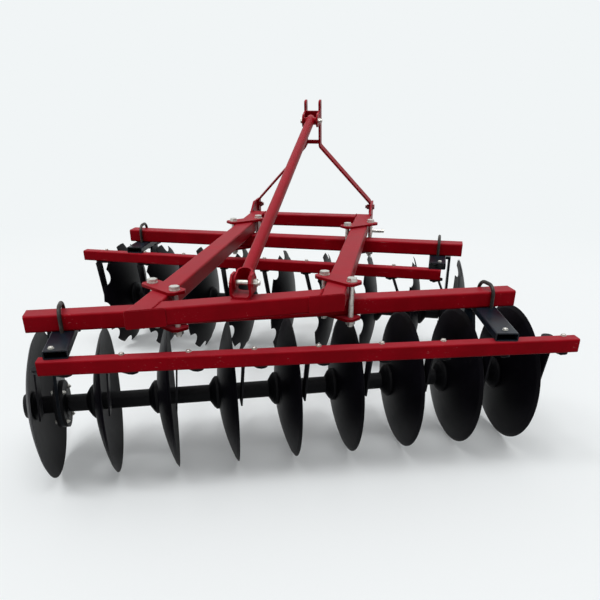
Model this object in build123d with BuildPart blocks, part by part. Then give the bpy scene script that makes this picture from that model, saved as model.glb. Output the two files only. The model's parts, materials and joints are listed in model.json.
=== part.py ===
from build123d import *
import os
from math import atan2, cos, degrees, hypot, radians, sin, sqrt, tan
from typing import NamedTuple

# Three-point mounted disc harrow with two gangs of nine discs, in millimetres.
# +X is right, +Y is forward, the way it is towed, and +Z is up. The origin is
# on the ground, in the middle of the overall length and width, and the hitch,
# the mast and the back strut stand in the plane X = 0.

# Discs
disc_diameter = 560
disc_thickness = 4
disc_count = 9
dish_depth = 54
disc_flat_diameter = 128
edge_bevel = 14
edge_land = 1
notch_count = 10
notch_radius = 46
notch_depth = 36
notch_turn = -3
square_turn = 90

# Gang shaft, spools and end washers
spool_length = 228
spool_diameter = 66
bell_diameter = 130
bell_rim = 20
bell_length = 34
flange_diameter = 108
flange_rim = 6
flange_length = 20
shaft_square = 28
shaft_hole = 29
washer_diameter = 100
washer_face = 66
washer_thickness = 18
end_bell_diameter = 118
end_bell_face = 88
end_bell_length = 28
gang_nut_size = 46
gang_nut_height = 24
gang_thread_end = 10

# Bearings and their hangers
journal_diameter = 50
bearing_running_gap = 0.05
bearing_end_gap = 3
bearing_place = 102
housing_length = 42
housing_hub_diameter = 110
housing_flange_diameter = 180
housing_flange_thickness = 11
housing_step = 4
housing_nose = 8
hanger_thickness = 12
hanger_seat_gap = 1
hanger_top_width = 70
hanger_top_y = 35
hanger_top_overlap = 10
hanger_pad_thickness = 10

# Rectangular tubes
tube_width = 80
tube_height = 60
tube_wall = 5
tube_corner = 8
scraper_tube_width = 50
scraper_tube_height = 50
scraper_tube_wall = 4
arm_width = 80
arm_height = 30
arm_wall = 4
arm_corner = 7

# Heights of the stack, from the scraper beam's top up
scraper_beam_top = 571.5
gang_beam_y = -67

# U-bolts
u_bolt_diameter = 14
u_bolt_side_gap = 2
u_bolt_crest = 24
u_bolt_bend = 36
u_bolt_end = 10
u_bolt_hole_gap = 0.5

# Scrapers
scraper_thickness = 6
scraper_foot_width = 42
scraper_foot_thickness = 8
scraper_clearance = 12
scraper_pitch = 213
scraper_top_y = -247
scraper_foot_lead = 20
scraper_root = 2
scraper_top_width = 58
scraper_tip_y = -212
scraper_tip_z = 330
scraper_tip_width = 52

# Main frame
frame_half_width = 334.5
frame_front = 860
rear_face_y = -805
rear_face_turn = 24.3
end_cap = 5
end_cap_width = 128
end_cap_height = 58

# Clamps where the gang beams cross the frame
clamp_plate_thickness = 10
clamp_plate_width = 72
clamp_plate_margin = 28
clamp_bolt_gap = 4
clamp_plate_corner = 14
clamp_bolt_diameter = 20
clamp_bolt_hole = 21
clamp_head_size = 32
clamp_head_height = 14
clamp_nut_height = 17

# Bolts and nuts of the frame, the mast and the strut
bolt_diameter = 16
bolt_hole = 17
bolt_head_size = 24
bolt_head_height = 10
nut_height = 13
bolt_end = 8

# Hitch plates and lower-link pins
hitch_plate_thickness = 10
hitch_top = 767
hitch_bottom = 575
hitch_front = 1058
hitch_heel_y = 818
hitch_shoulder_y = 894
hitch_chin_y = 957
hitch_corner = 24
hitch_throat_drop = 6
link_pin_y = 996
link_pin_z = 608
link_pin_diameter = 22
link_pin_length = 66
link_collar_diameter = 42
link_collar_thickness = 7
linch_hole = 11
linch_hole_inset = 14
linch_pin_chamfer = 2

# Mast
mast_bolt_y = 988
mast_bolt_z = 740
mast_lean = 9.5
mast_bar_thickness = 10
mast_bar_width = 55
mast_foot_drop = 35
mast_low_bend = 27
mast_high_bend = 321
mast_top = 540
mast_ear_gap = 64
mast_bend_radius = 22
mast_corner = 14
top_link_height = 508
top_link_hole = 19.5
spacer_diameter = 20
spacer_height = 339

# Back strut
strut_top_y = 816
strut_top_z = 1181
strut_low_y = -735
strut_low_z = 768
strut_diameter = 44
strut_wall = 4
strut_end_reach = 24
strut_sleeve_diameter = 30
strut_sleeve_gap = 0.5
strut_plug = 10
bracket_thickness = 8
bracket_outer_width = 80
bracket_height = 60
bracket_seat_extra = 6
fork_thickness = 7
fork_width = 48
fork_reach = 62
fork_end = 24
fork_bend_radius = 25
fork_corner = 20
clevis_thickness = 8
clevis_inner_width = 58
clevis_fork_gap = 0.5
clevis_depth = 86
clevis_leg_top = 30
clevis_leg_corner = 22
clevis_bend_radius = 16

# Sizes that follow from those above
disc_pitch = spool_length + disc_thickness
disc_radius = disc_diameter / 2
axle_height = disc_radius
scraper_beam_z = scraper_beam_top - scraper_tube_height / 2
arm_z = scraper_beam_top + arm_height / 2
gang_beam_bottom = scraper_beam_top + arm_height
gang_beam_top = gang_beam_bottom + tube_height
frame_top = gang_beam_top + tube_height
frame_x = frame_half_width - tube_width / 2
frame_inner_x = frame_half_width - tube_width
rear_turn = radians(rear_face_turn)


class Gang(NamedTuple):
    # hollow is +1 where the discs' hollow side faces right, -1 where left, and
    # scraper_ends is what the scraper beam has past its outer scrapers' bolts
    name: str
    x: float
    y: float
    turn: float
    hollow: int
    notched: bool
    beam_shift: float
    beam_length: float
    scraper_y: float
    scraper_shift: float
    scraper_ends: float
    scraper_turn: float
    foot_shift: float
    blade_lean: float


class Arm(NamedTuple):
    # x is at the gang beam, turn about the upright, rear measured from there
    gang: str
    side: str
    x: float
    turn: float
    bolt_turn: float
    rear: float
    front: float


gangs = [
    Gang("rear", 115.3, -487.3, 19.1, 1, False, -39, 1784, -327, 44.7, 130.4, -3.3, 62, 0.2),
    Gang("front", -118.7, 608, -2.3, -1, True, 60, 1744, -231.5, -93.9, 161.8, -0.9, -42, 0.8),
]
# The square hole lets a notched disc sit a quarter turn on, half a notch round.
quarter_turned = (3, 4, 7)

arms = [
    Arm("rear", "left", -810, 0, 0, 220, 140),
    Arm("rear", "right", 750, -10, 8, 322, 145),
    Arm("front", "left", -748, 4, 4, 168, 145),
    Arm("front", "right", 818, 0, 0, 188, 140),
]


class BoltSize(NamedTuple):
    diameter: float
    head: float
    head_height: float
    nut_height: float


hitch_bolt = BoltSize(bolt_diameter, bolt_head_size, bolt_head_height, nut_height)
clamp_bolt = BoltSize(clamp_bolt_diameter, clamp_head_size, clamp_head_height, clamp_nut_height)


# Planes. Each is given in a gang's own frame: x along the axle, y forward.
def gang_frame(gang):
    turn = radians(gang.turn)
    return Plane(origin=(gang.x, gang.y, 0), x_dir=(cos(turn), sin(turn), 0), z_dir=(0, 0, 1))


def level(frame, x, y, z, turn=0):
    return Plane(frame.location * Location((x, y, z), (0, 0, turn)))


def along_x(frame, x, y, z):
    seat = Plane(origin=(x, y, z), x_dir=(0, 1, 0), z_dir=(1, 0, 0))
    return Plane(frame.location * seat.location)


def along_y(frame, x, y, z):
    seat = Plane(origin=(x, y, z), x_dir=(-1, 0, 0), z_dir=(0, 1, 0))
    return Plane(frame.location * seat.location)


def rim_places():
    return [(number - (disc_count - 1) / 2) * disc_pitch for number in range(disc_count)]


def tube_profile(width, height, wall, corner):
    RectangleRounded(width, height, corner)
    RectangleRounded(width - 2 * wall, height - 2 * wall, corner - wall, mode=Mode.SUBTRACT)


def finish(part, name):
    part.label = name
    export_step(part, f"parts/{name}.step")


# The bowl of a disc is a sphere through the flat centre's edge and the rim.
flat_radius = disc_flat_diameter / 2
bowl_centre = (disc_radius**2 - flat_radius**2 - dish_depth**2) / (2 * dish_depth)
bowl_radius = hypot(bowl_centre, disc_radius)


def bowl_point(radius, offset):
    return (bowl_centre - sqrt((bowl_radius + offset) ** 2 - radius**2), radius)


# One disc, its axle along X, its rim in the plane X = 0 and its hollow to +X
def make_disc(notched, turn):
    back = -dish_depth - disc_thickness
    bevel_start = disc_radius - edge_bevel
    middle = (flat_radius + disc_radius) / 2
    with BuildPart() as disc:
        with BuildSketch(Plane.XZ):
            with BuildLine():
                Line((back, 0), (back, flat_radius))
                ThreePointArc(
                    (back, flat_radius),
                    bowl_point(middle, disc_thickness),
                    bowl_point(bevel_start, disc_thickness),
                )
                Line(bowl_point(bevel_start, disc_thickness), (-edge_land, disc_radius))
                Line((-edge_land, disc_radius), (0, disc_radius))
                ThreePointArc((0, disc_radius), bowl_point(middle, 0), (-dish_depth, flat_radius))
                Line((-dish_depth, flat_radius), (-dish_depth, 0))
                Line((-dish_depth, 0), (back, 0))
            make_face()
        revolve(axis=Axis.X)
        with BuildSketch(Plane.YZ.offset(back - 1)):
            Rectangle(shaft_hole, shaft_hole)
        extrude(amount=disc_thickness + 2, mode=Mode.SUBTRACT)
        if notched:
            notch_place = disc_radius + notch_radius - notch_depth
            first_notch = 90 + 180 / notch_count - turn
            with BuildSketch(Plane.YZ.offset(-dish_depth)):
                with PolarLocations(notch_place, notch_count, start_angle=first_notch):
                    Circle(notch_radius)
            extrude(amount=dish_depth + 1, mode=Mode.SUBTRACT)
    return disc.part


# One spool from x = 0, on a disc's hollow side, to the next disc's bulged side.
# Where it runs in a bearing it is split there, and each half has a journal.
def make_spool(start, end):
    tube_radius = spool_diameter / 2
    journal_start = bearing_place - housing_length / 2 - bearing_end_gap
    journal_end = bearing_place + housing_length / 2 + bearing_end_gap
    with BuildPart() as spool:
        with BuildSketch(Plane.XZ):
            with BuildLine():
                if start == 0:
                    left = [
                        (0, 0),
                        (0, flange_diameter / 2),
                        (flange_rim, flange_diameter / 2),
                        (flange_length, tube_radius),
                    ]
                else:
                    left = [
                        (start, 0),
                        (start, journal_diameter / 2),
                        (journal_end, journal_diameter / 2),
                        (journal_end, tube_radius),
                    ]
                if end == spool_length:
                    right = [
                        (end - bell_length, tube_radius),
                        (end - bell_rim, bell_diameter / 2 - bell_rim / 2),
                        (end - bell_rim / 2, bell_diameter / 2),
                        (end, bell_diameter / 2),
                        (end, 0),
                    ]
                else:
                    right = [
                        (journal_start, tube_radius),
                        (journal_start, journal_diameter / 2),
                        (end, journal_diameter / 2),
                        (end, 0),
                    ]
                Polyline(*left, *right, close=True)
            make_face()
        revolve(axis=Axis.X)
        with BuildSketch(Plane.YZ.offset(start - 1)):
            Rectangle(shaft_hole, shaft_hole)
        extrude(amount=end - start + 2, mode=Mode.SUBTRACT)
    return spool.part


# Half a bearing housing, from the hanger's middle plane towards +X
def make_housing_half():
    hub = housing_hub_diameter / 2
    rim = housing_flange_diameter / 2
    plate = hanger_thickness / 2
    flange = plate + housing_flange_thickness
    end = housing_length / 2
    bore = journal_diameter / 2 + bearing_running_gap
    with BuildPart() as half:
        with BuildSketch(Plane.XZ):
            with BuildLine():
                Polyline(
                    (0, bore),
                    (0, hub),
                    (plate, hub),
                    (plate, rim),
                    (flange, rim),
                    (flange, hub + housing_step),
                    (end, hub - housing_nose),
                    (end, bore),
                    close=True,
                )
            make_face()
        revolve(axis=Axis.X)
    return half.part


# One bolt along its seat's Z, which points out of the head's side
def make_bolt(seat, grip, size):
    with BuildPart() as bolt:
        with BuildSketch(seat):
            RegularPolygon(size.head / 2, 6, major_radius=False)
        extrude(amount=size.head_height)
        with BuildSketch(seat):
            Circle(size.diameter / 2)
        extrude(amount=-(grip + size.nut_height + bolt_end))
        with BuildSketch(seat.offset(-grip)):
            RegularPolygon(size.head / 2, 6, major_radius=False)
        extrude(amount=-size.nut_height)
    return bolt.part


os.makedirs("parts", exist_ok=True)

# Spools and housings with the discs' hollow side right, and their mirror images
spool_whole = make_spool(0, spool_length)
spool_first = make_spool(0, bearing_place)
spool_last = make_spool(bearing_place, spool_length)
housing_right = make_housing_half()
housing_left = mirror(housing_right, about=Plane.YZ)
bearing_spools = (0, disc_count - 2)


def handed(part, hollow):
    return part if hollow > 0 else mirror(part, about=Plane.YZ)


for gang in gangs:
    frame = gang_frame(gang)
    hand = gang.hollow
    rims = [hand * place for place in rim_places()]
    disc = handed(make_disc(gang.notched, notch_turn), hand)
    turned_disc = handed(make_disc(gang.notched, notch_turn + square_turn), hand)
    whole_spool = [handed(spool_whole, hand)]
    split_spool = [handed(spool_first, hand), handed(spool_last, hand)]

    with BuildPart() as discs:
        for number, x in enumerate(sorted(rims)):
            with Locations(level(frame, x, 0, axle_height)):
                add(turned_disc if gang.notched and number in quarter_turned else disc)
    finish(discs.part, f"{gang.name}_discs")

    # Spools, the second and the last split at their bearings
    with BuildPart() as spools:
        for number, rim in enumerate(rims[:-1]):
            with Locations(level(frame, rim - hand * dish_depth, 0, axle_height)):
                add(split_spool if number in bearing_spools else whole_spool)
    finish(spools.part, f"{gang.name}_spools")

    # Ends: a bell outside the first disc's bulge, a washer in the last hollow
    first_face = rims[0] - hand * (dish_depth + disc_thickness)
    last_face = rims[-1] - hand * dish_depth
    ends = (
        # face, way out, length, large and small diameter
        (first_face, -hand, end_bell_length, end_bell_diameter, end_bell_face),
        (last_face, hand, washer_thickness, washer_diameter, washer_face),
    )
    with BuildPart() as washers:
        for face, out, length, diameter, outer_diameter in ends:
            with BuildSketch(along_x(frame, face, 0, axle_height)):
                Circle(diameter / 2)
            with BuildSketch(along_x(frame, face + out * length, 0, axle_height)):
                Circle(outer_diameter / 2)
            loft()
            with BuildSketch(along_x(frame, face, 0, axle_height)):
                Rectangle(shaft_hole, shaft_hole)
            extrude(amount=out * length, mode=Mode.SUBTRACT)
    finish(washers.part, f"{gang.name}_end_washers")

    # Square shaft, flush with the end bell, with a nut on the last washer
    shaft_start = first_face - hand * end_bell_length
    nut_seat = last_face + hand * washer_thickness
    shaft_end = nut_seat + hand * (gang_nut_height + gang_thread_end)
    with BuildPart() as shaft:
        with BuildSketch(along_x(frame, shaft_start, 0, axle_height)):
            Rectangle(shaft_square, shaft_square)
        extrude(amount=nut_seat - shaft_start)
        with BuildSketch(along_x(frame, nut_seat, 0, axle_height)):
            Circle(shaft_square / 2)
        extrude(amount=shaft_end - nut_seat)
        with BuildSketch(along_x(frame, nut_seat, 0, axle_height)):
            RegularPolygon(gang_nut_size / 2, 6, major_radius=False)
        extrude(amount=hand * gang_nut_height)
    finish(shaft.part, f"{gang.name}_shaft")

    # Gang beam
    beam_start = gang.beam_shift - gang.beam_length / 2
    with BuildPart() as gang_beam:
        with BuildSketch(along_x(frame, beam_start, gang_beam_y, gang_beam_bottom + tube_height / 2)):
            tube_profile(tube_width, tube_height, tube_wall, tube_corner)
        extrude(amount=gang.beam_length)
    finish(gang_beam.part, f"{gang.name}_gang_beam")

    # Scraper beam, a little askew to the axle
    skewed = level(frame, 0, gang.scraper_y, 0, gang.scraper_turn)
    scraper_length = (disc_count - 1) * scraper_pitch + gang.scraper_ends
    scraper_start = gang.scraper_shift - scraper_length / 2
    with BuildPart() as scraper_beam:
        with BuildSketch(along_x(skewed, scraper_start, 0, scraper_beam_z)):
            tube_profile(
                scraper_tube_width, scraper_tube_height, scraper_tube_wall, tube_corner - 1
            )
        extrude(amount=scraper_length)
    finish(scraper_beam.part, f"{gang.name}_scraper_beam")

    # Scrapers: a foot under the beam and a blade down to each disc's hollow side
    foot_top = scraper_beam_top - scraper_tube_height
    slope = tan(radians(gang.scraper_turn))
    with BuildPart() as scrapers:
        for number, rim in enumerate(sorted(rims)):
            bolt_x = gang.foot_shift + (number - (disc_count - 1) / 2) * scraper_pitch
            bolt_y = gang.scraper_y + bolt_x * slope
            tip_x = rim + hand * (scraper_clearance + scraper_thickness / 2)
            top_x = tip_x + hand * max(0, hand * (bolt_x - tip_x)) * gang.blade_lean
            run_x = top_x - bolt_x
            run_y = scraper_top_y + scraper_foot_lead - bolt_y
            foot_turn = degrees(atan2(run_y, run_x))
            foot_plane = level(frame, bolt_x + run_x / 2, bolt_y + run_y / 2, foot_top, foot_turn)
            with BuildSketch(foot_plane):
                SlotCenterToCenter(hypot(run_x, run_y), scraper_foot_width)
            extrude(amount=-scraper_foot_thickness)
            with BuildSketch(level(frame, top_x, scraper_top_y, foot_top - scraper_root)):
                Rectangle(scraper_thickness, scraper_top_width)
            with BuildSketch(level(frame, tip_x, scraper_tip_y, scraper_tip_z)):
                Rectangle(scraper_thickness, scraper_tip_width)
            loft()
    finish(scrapers.part, f"{gang.name}_scrapers")

    # Arms of flat tube between the two beams, and the U-bolts over them
    leg_gap = tube_width / 2 + u_bolt_side_gap + u_bolt_diameter / 2
    arm_places = [arm for arm in arms if arm.gang == gang.name]
    for arm in arm_places:
        arm_frame = level(frame, arm.x, gang_beam_y, 0, arm.turn)
        bolt_frame = level(frame, arm.x, gang_beam_y, scraper_beam_top, arm.bolt_turn)
        leg_y = leg_gap / cos(radians(arm.bolt_turn))
        with BuildPart() as arm_tube:
            with BuildSketch(along_y(arm_frame, 0, -arm.rear, arm_z)):
                tube_profile(arm_width, arm_height, arm_wall, arm_corner)
            extrude(amount=arm.rear + arm.front)
            with BuildSketch(bolt_frame):
                with Locations((0, -leg_y), (0, leg_y)):
                    Circle(u_bolt_diameter / 2 + u_bolt_hole_gap)
            extrude(amount=arm_height, mode=Mode.SUBTRACT)
        finish(arm_tube.part, f"{gang.name}_arm_{arm.side}")

    with BuildPart() as u_bolts:
        for arm in arm_places:
            bolt_frame = level(frame, arm.x, gang_beam_y, 0, arm.bolt_turn)
            leg_y = leg_gap / cos(radians(arm.bolt_turn))
            low = scraper_beam_top - nut_height - u_bolt_end
            crest = gang_beam_top + u_bolt_crest
            side = along_x(bolt_frame, 0, 0, 0)
            with BuildLine(side) as bend:
                FilletPolyline(
                    (-leg_y, low),
                    (-leg_y, crest),
                    (leg_y, crest),
                    (leg_y, low),
                    radius=u_bolt_bend,
                )
            with BuildSketch(level(bolt_frame, 0, -leg_y, low)):
                Circle(u_bolt_diameter / 2)
            sweep(path=bend.wires()[0])
            with BuildSketch(level(bolt_frame, 0, 0, scraper_beam_top)):
                with Locations((0, -leg_y), (0, leg_y)):
                    RegularPolygon(bolt_head_size / 2, 6, major_radius=False)
            extrude(amount=-nut_height)
    finish(u_bolts.part, f"{gang.name}_u_bolts")

    # Hangers under the arms, with a round end for the bearing, and the housings
    hanger_places = []
    for arm in arm_places:
        spool_number = 0 if (arm.x < 0) == (hand > 0) else disc_count - 2
        hanger_x = rims[spool_number] - hand * (dish_depth - bearing_place)
        hanger_places.append((arm, hanger_x))

    pad_bottom = scraper_beam_top - hanger_pad_thickness
    with BuildPart() as hangers:
        for arm, hanger_x in hanger_places:
            arm_x = arm.x - (hanger_top_y - gang_beam_y) * tan(radians(arm.turn))
            pad_start = min(arm_x - arm_width / 2, hanger_x - hanger_thickness / 2)
            pad_end = max(arm_x + arm_width / 2, hanger_x + hanger_thickness / 2)
            pad_middle = (pad_start + pad_end) / 2
            with BuildSketch(level(frame, pad_middle, hanger_top_y, pad_bottom)):
                Rectangle(pad_end - pad_start, hanger_top_width)
            extrude(amount=hanger_pad_thickness)
            with BuildSketch(along_x(frame, hanger_x, 0, 0)):
                with Locations((0, axle_height)):
                    Circle(housing_flange_diameter / 2)
                with Locations((hanger_top_y, pad_bottom - hanger_top_overlap)):
                    Rectangle(hanger_top_width, 2 * hanger_top_overlap)
                make_hull()
                with Locations((0, axle_height)):
                    Circle(housing_hub_diameter / 2 + hanger_seat_gap, mode=Mode.SUBTRACT)
            extrude(amount=hanger_thickness / 2, both=True)
    finish(hangers.part, f"{gang.name}_hangers")

    for side_name, half in (("left", housing_left), ("right", housing_right)):
        with BuildPart() as housings:
            with Locations(*[level(frame, x, 0, axle_height) for arm, x in hanger_places]):
                add(half)
        finish(housings.part, f"{gang.name}_housings_{side_name}")


# Main frame. The longitudinals are cut along the rear face, and a cap plate on
# each end reaches over the rear crossbar's end.
rear_face = Plane(
    origin=(0, rear_face_y, (gang_beam_top + frame_top) / 2),
    x_dir=(cos(rear_turn), sin(rear_turn), 0),
    z_dir=(sin(rear_turn), -cos(rear_turn), 0),
)
frame_middle = (gang_beam_top + frame_top) / 2
frame_reach = frame_front - rear_face_y + frame_half_width

for side_name, side in (("left", -1), ("right", 1)):
    cap_middle = side * (frame_half_width / cos(rear_turn) - end_cap_width / 2)
    with BuildPart() as longitudinal:
        with BuildSketch(along_y(Plane.XY, side * frame_x, frame_front, frame_middle)):
            tube_profile(tube_width, tube_height, tube_wall, tube_corner)
        extrude(amount=-frame_reach)
        split(bisect_by=rear_face, keep=Keep.BOTTOM)
        with BuildSketch(rear_face):
            with Locations((cap_middle, 0)):
                RectangleRounded(end_cap_width, end_cap_height, end_cap)
        extrude(amount=end_cap)
    finish(longitudinal.part, f"longitudinal_{side_name}")

with BuildPart() as front_crossbar:
    with BuildSketch(along_x(Plane.XY, -frame_inner_x, frame_front - tube_width / 2, frame_middle)):
        tube_profile(tube_width, tube_height, tube_wall, tube_corner)
    extrude(amount=2 * frame_inner_x)
finish(front_crossbar.part, "front_crossbar")

skew_bar = Plane(rear_face.location * Location((0, 0, -tube_width / 2), (0, 90, 0)))
with BuildPart() as rear_crossbar:
    with BuildSketch(skew_bar):
        tube_profile(tube_width, tube_height, tube_wall, tube_corner)
    extrude(amount=frame_half_width * 1.5, both=True)
    split(bisect_by=Plane.YZ.offset(frame_inner_x), keep=Keep.BOTTOM)
    split(bisect_by=Plane.YZ.offset(-frame_inner_x), keep=Keep.TOP)
finish(rear_crossbar.part, "rear_crossbar")


# Clamps. At each crossing two bolts stand in opposite corners, and the plates
# lie along the line through them.
class Clamp(NamedTuple):
    x: float
    y: float
    turn: float
    spread: float


clamps = []
bolt_offset = tube_width / 2 + clamp_bolt_gap + clamp_bolt_diameter / 2
for gang in gangs:
    turn = radians(gang.turn)
    for side in (-1, 1):
        cross_x = side * frame_x
        along = (cross_x - gang.x + gang_beam_y * sin(turn)) / cos(turn)
        cross_y = gang.y + along * sin(turn) + gang_beam_y * cos(turn)
        run_x = bolt_offset
        across = -bolt_offset if gang.name == "rear" else bolt_offset
        run_y = (across + run_x * sin(turn)) / cos(turn)
        clamps.append(Clamp(cross_x, cross_y, degrees(atan2(run_y, run_x)), hypot(run_x, run_y)))

clamp_levels = (
    ("clamp_upper_plates", frame_top),
    ("clamp_lower_plates", gang_beam_bottom - clamp_plate_thickness),
)
for node_name, bottom in clamp_levels:
    with BuildPart() as plates:
        for clamp in clamps:
            with BuildSketch(level(Plane.XY, clamp.x, clamp.y, bottom, clamp.turn)) as outline:
                Rectangle(2 * (clamp.spread + clamp_plate_margin), clamp_plate_width)
                chamfer(outline.vertices(), clamp_plate_corner)
                with Locations((-clamp.spread, 0), (clamp.spread, 0)):
                    Circle(clamp_bolt_hole / 2, mode=Mode.SUBTRACT)
            extrude(amount=clamp_plate_thickness)
    finish(plates.part, node_name)

clamp_grip = frame_top - gang_beam_bottom + 2 * clamp_plate_thickness
with BuildPart() as clamp_bolts:
    for clamp in clamps:
        for side in (-1, 1):
            plate_plane = level(
                Plane.XY, clamp.x, clamp.y, frame_top + clamp_plate_thickness, clamp.turn
            )
            bolt_seat = level(plate_plane, side * clamp.spread, 0, 0)
            add(make_bolt(bolt_seat, clamp_grip, clamp_bolt))
finish(clamp_bolts.part, "clamp_bolts")


# Hitch plates over the front corners, and the lower-link pins on them
for side_name, side in (("left", -1), ("right", 1)):
    with BuildPart() as hitch_plate:
        with BuildSketch(along_x(Plane.XY, side * frame_half_width, 0, 0)):
            with BuildLine():
                Polyline(
                    (hitch_heel_y, frame_top),
                    (hitch_shoulder_y, hitch_top),
                    (hitch_front - hitch_corner, hitch_top),
                    (hitch_front, hitch_top - hitch_corner),
                    (hitch_front, hitch_bottom + hitch_corner),
                    (hitch_front - hitch_corner, hitch_bottom),
                    (hitch_chin_y, hitch_bottom),
                    (frame_front, gang_beam_top - hitch_throat_drop),
                    (frame_front, frame_top),
                    close=True,
                )
            make_face()
            with Locations((mast_bolt_y, mast_bolt_z)):
                Circle(bolt_hole / 2, mode=Mode.SUBTRACT)
        extrude(amount=-side * hitch_plate_thickness)
    finish(hitch_plate.part, f"hitch_plate_{side_name}")

    with BuildPart() as link_pin:
        with BuildSketch(along_x(Plane.XY, side * frame_half_width, link_pin_y, link_pin_z)):
            Circle(link_collar_diameter / 2)
        extrude(amount=side * link_collar_thickness)
        shoulder = side * (frame_half_width + link_collar_thickness)
        with BuildSketch(along_x(Plane.XY, shoulder, link_pin_y, link_pin_z)):
            Circle(link_pin_diameter / 2)
        extrude(amount=side * link_pin_length)
        ends = link_pin.edges().filter_by(GeomType.CIRCLE).sort_by(Axis.X)
        chamfer(ends[-1] if side > 0 else ends[0], linch_pin_chamfer)
        hole_x = shoulder + side * (link_pin_length - linch_hole_inset)
        with BuildSketch(level(Plane.XY, hole_x, link_pin_y, link_pin_z)):
            Circle(linch_hole / 2)
        extrude(amount=link_pin_diameter, both=True, mode=Mode.SUBTRACT)
    finish(link_pin.part, f"lower_link_pin_{side_name}")


# Mast: two bars bent towards each other, leaning back about the foot bolts.
# Its own plane has x to the right and y up along the bars.
lean = radians(mast_lean)
mast_plane = Plane(
    origin=(0, mast_bolt_y, mast_bolt_z), x_dir=(1, 0, 0), z_dir=(0, -cos(lean), -sin(lean))
)
foot_x = frame_half_width - hitch_plate_thickness - mast_bar_thickness / 2
ear_x = mast_ear_gap / 2 + mast_bar_thickness / 2

mast_bars = []
for side_name, side in (("left", -1), ("right", 1)):
    with BuildPart() as mast_bar:
        with BuildSketch(mast_plane):
            with BuildLine():
                FilletPolyline(
                    (side * foot_x, -mast_foot_drop),
                    (side * foot_x, mast_low_bend),
                    (side * ear_x, mast_high_bend),
                    (side * ear_x, mast_top),
                    radius=mast_bend_radius,
                )
            trace(line_width=mast_bar_thickness)
        extrude(amount=mast_bar_width / 2, both=True)
        level_edges = mast_bar.edges().filter_by(Axis.X).sort_by(Axis.Z)
        fillet(level_edges[-2:], mast_corner)
        level_edges = mast_bar.edges().filter_by(Axis.X).sort_by(Axis.Z)
        chamfer(level_edges[:2], mast_corner)
        with BuildSketch(along_x(Plane.XY, 0, mast_bolt_y, mast_bolt_z)):
            Circle(bolt_hole / 2)
        extrude(amount=side * frame_half_width, mode=Mode.SUBTRACT)
        top_y = mast_bolt_y - top_link_height * sin(lean)
        top_z = mast_bolt_z + top_link_height * cos(lean)
        with BuildSketch(along_x(Plane.XY, 0, top_y, top_z)):
            Circle(top_link_hole / 2)
        extrude(amount=side * mast_ear_gap, mode=Mode.SUBTRACT)
    finish(mast_bar.part, f"mast_bar_{side_name}")
    mast_bars.append(mast_bar.part)

# The spacer ends on the two bars. Below their high bend they stand wider apart.
bar_slope = (foot_x - ear_x) / (mast_high_bend - mast_low_bend)
bar_below = min(mast_high_bend - spacer_height, mast_high_bend - mast_low_bend)
sloped_face = ear_x + bar_slope * bar_below - mast_bar_thickness / 2 * hypot(1, bar_slope)
spacer_half = max(mast_ear_gap / 2, sloped_face)
spacer_y = mast_bolt_y - spacer_height * sin(lean)
spacer_z = mast_bolt_z + spacer_height * cos(lean)
with BuildPart() as mast_spacer:
    with BuildSketch(along_x(Plane.XY, 0, spacer_y, spacer_z)):
        Circle(spacer_diameter / 2)
    extrude(amount=spacer_half, both=True)
    add(mast_bars, mode=Mode.SUBTRACT)
finish(mast_spacer.part, "mast_spacer")


# Strut bracket: a U of plate open to the rear, welded behind the ears. In the
# mast's side plane u runs back from the bars' middle and v up along them.
back_y = strut_top_y - mast_bolt_y
back_z = strut_top_z - mast_bolt_z
bolt_u = -back_y * cos(lean) - back_z * sin(lean)
bolt_v = -back_y * sin(lean) + back_z * cos(lean)
mast_side = Plane(
    origin=(0, mast_bolt_y, mast_bolt_z), x_dir=(0, -cos(lean), -sin(lean)), z_dir=(-1, 0, 0)
)
bracket_half = bracket_outer_width / 2
with BuildPart() as strut_bracket:
    with BuildSketch(mast_side):
        with Locations((bolt_u, bolt_v)):
            Circle(bracket_height / 2)
        with Locations((mast_bar_width / 2 + bracket_thickness / 2, bolt_v)):
            Rectangle(bracket_thickness, bracket_height + bracket_seat_extra)
        make_hull()
    extrude(amount=bracket_half, both=True)
    with BuildSketch(mast_side):
        with Locations((bolt_u, bolt_v)):
            Circle(bolt_hole / 2)
    extrude(amount=bracket_half, both=True, mode=Mode.SUBTRACT)
    with BuildSketch(mast_side):
        with Locations((mast_bar_width / 2 + bracket_thickness + 2 * bracket_height, bolt_v)):
            Rectangle(4 * bracket_height, 4 * bracket_height)
    extrude(amount=bracket_half - bracket_thickness, both=True, mode=Mode.SUBTRACT)
finish(strut_bracket.part, "strut_bracket")


# Back strut from the clevis up to the bracket
strut_run = Vector(0, strut_top_y - strut_low_y, strut_top_z - strut_low_z)
strut_length = strut_run.length
strut_axis = strut_run.normalized()
strut_foot = Plane(
    origin=(0, strut_low_y, strut_low_z), x_dir=(1, 0, 0), z_dir=strut_axis
)
sleeve_length = bracket_outer_width - 2 * bracket_thickness - 2 * strut_sleeve_gap
with BuildPart() as back_strut:
    with BuildSketch(strut_foot.offset(fork_reach)):
        Circle(strut_diameter / 2)
    extrude(amount=strut_length - fork_reach + strut_end_reach)
    with BuildSketch(along_x(Plane.XY, 0, strut_top_y, strut_top_z)):
        Circle(strut_sleeve_diameter / 2)
    extrude(amount=sleeve_length / 2, both=True)
    with BuildSketch(strut_foot.offset(fork_reach)):
        Circle(strut_diameter / 2 - strut_wall)
    bore_length = strut_length - fork_reach - strut_sleeve_diameter / 2 - strut_plug
    extrude(amount=bore_length, mode=Mode.SUBTRACT)
    with BuildSketch(along_x(Plane.XY, 0, strut_top_y, strut_top_z)):
        Circle(bolt_hole / 2)
    extrude(amount=sleeve_length, both=True, mode=Mode.SUBTRACT)
finish(back_strut.part, "back_strut")

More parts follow.
